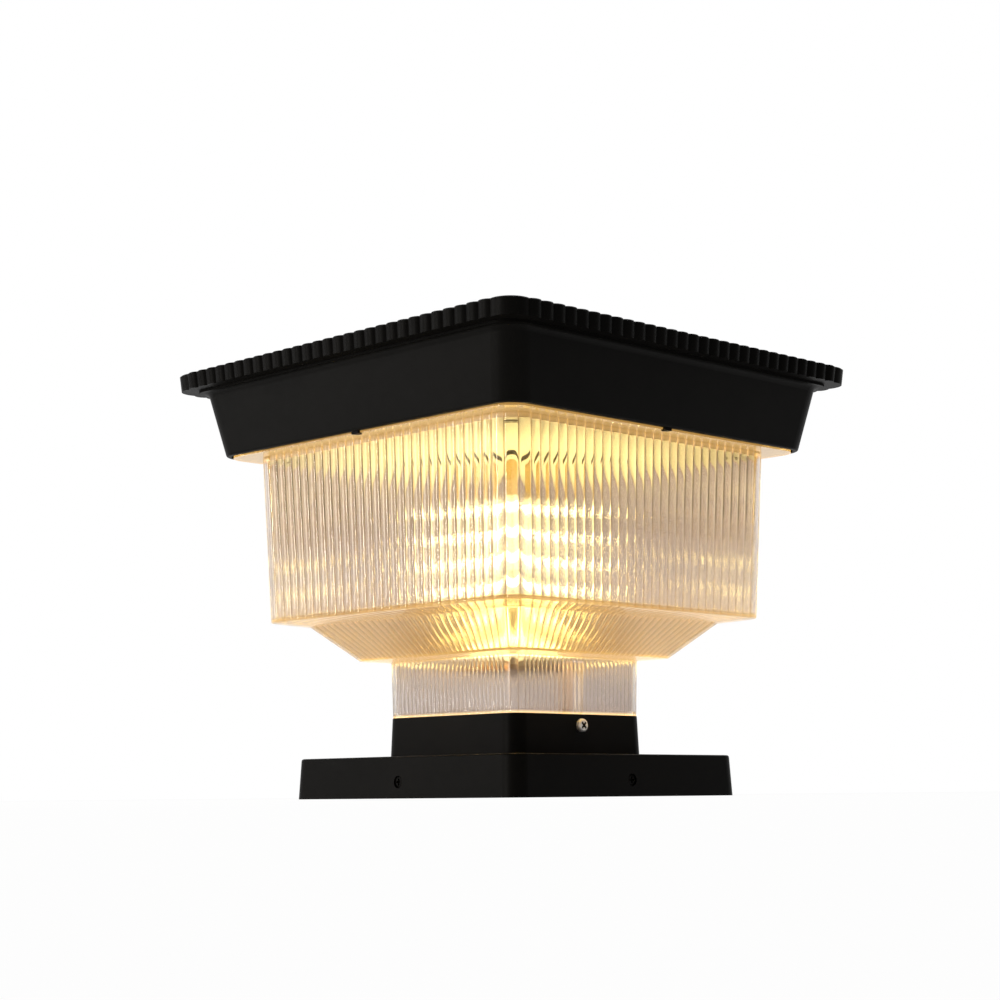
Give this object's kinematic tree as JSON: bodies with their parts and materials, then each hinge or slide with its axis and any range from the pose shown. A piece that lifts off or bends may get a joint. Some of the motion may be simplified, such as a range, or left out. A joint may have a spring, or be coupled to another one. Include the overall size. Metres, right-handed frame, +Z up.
{
  "type": "solar pillar light",
  "caption": "Square solar pillar light: black toothed cap with a solar panel, clear ribbed stepped shade, black collar and base over a bolted bracket.",
  "frame": {"origin": "middle of the base on the pillar's top", "axes": "+Z up, the power button on the +Y side, the bright collar screws on the X sides"},
  "size_m": [0.3, 0.3, 0.26],
  "materials": {
    "black_housing": "fine satin texture, moulded black",
    "clear_shade": "clear moulded, ribbed outside",
    "panel_glass": "polished flat",
    "solar_cell": "dark blue silicon under glass",
    "backsheet": "plain white sheet",
    "seal_rubber": "matt",
    "gasket_white": "pale silicone",
    "reflector_white": "satin white",
    "post_aluminium": "extruded, satin",
    "board_white": "white solder mask",
    "lamp": "warm light",
    "stainless": "bright pan head",
    "black_steel": "blackened",
    "zinc_plate": "zinc plated sheet",
    "battery_wrap": "shrink sleeve",
    "contact_nickel": "nickel plated",
    "board_green": "green solder mask",
    "component_black": "moulded",
    "wire_black": "sheathed",
    "switch_metal": "turned",
    "button_black": "smooth"
  },
  "bodies": {
    "lamp": {"cap_housing": "black_housing", "shade": "clear_shade", "shade_gasket": "gasket_white", "solar_glass": "panel_glass", "solar_cells": "solar_cell", "panel_backsheet": "backsheet", "panel_seal": "seal_rubber", "reflector_plate": "reflector_white", "reflector_screws": "black_steel", "led_post": "post_aluminium", "post_flange": "reflector_white", "post_end_cap": "reflector_white", "post_screws": "black_steel", "led_boards": "board_white", "led_chips": "lamp", "battery_holder": "component_black", "battery_cells": "battery_wrap", "battery_contacts": "contact_nickel", "holder_screws": "stainless", "control_board": "board_green", "board_components": "component_black", "board_screws": "stainless", "switch_body": "switch_metal", "switch_seal": "seal_rubber", "switch_nut": "zinc_plate", "lead_grommet": "seal_rubber", "panel_lead": "wire_black", "battery_lead": "wire_black", "led_lead": "wire_black", "switch_lead": "wire_black", "collar": "black_housing", "collar_screws": "stainless", "collar_fixing_screws": "stainless", "base_cover": "black_housing", "base_screws": "black_steel", "mounting_bracket": "zinc_plate"},
    "button": {"power_button": "button_black"}
  },
  "joints": [
    {"name": "power_button_press", "type": "slide", "parent": "lamp", "child": "button", "axis": [0, -1, 0], "range_m": [0, 0.0015], "stiffness_N_per_m": 900}
  ]
}
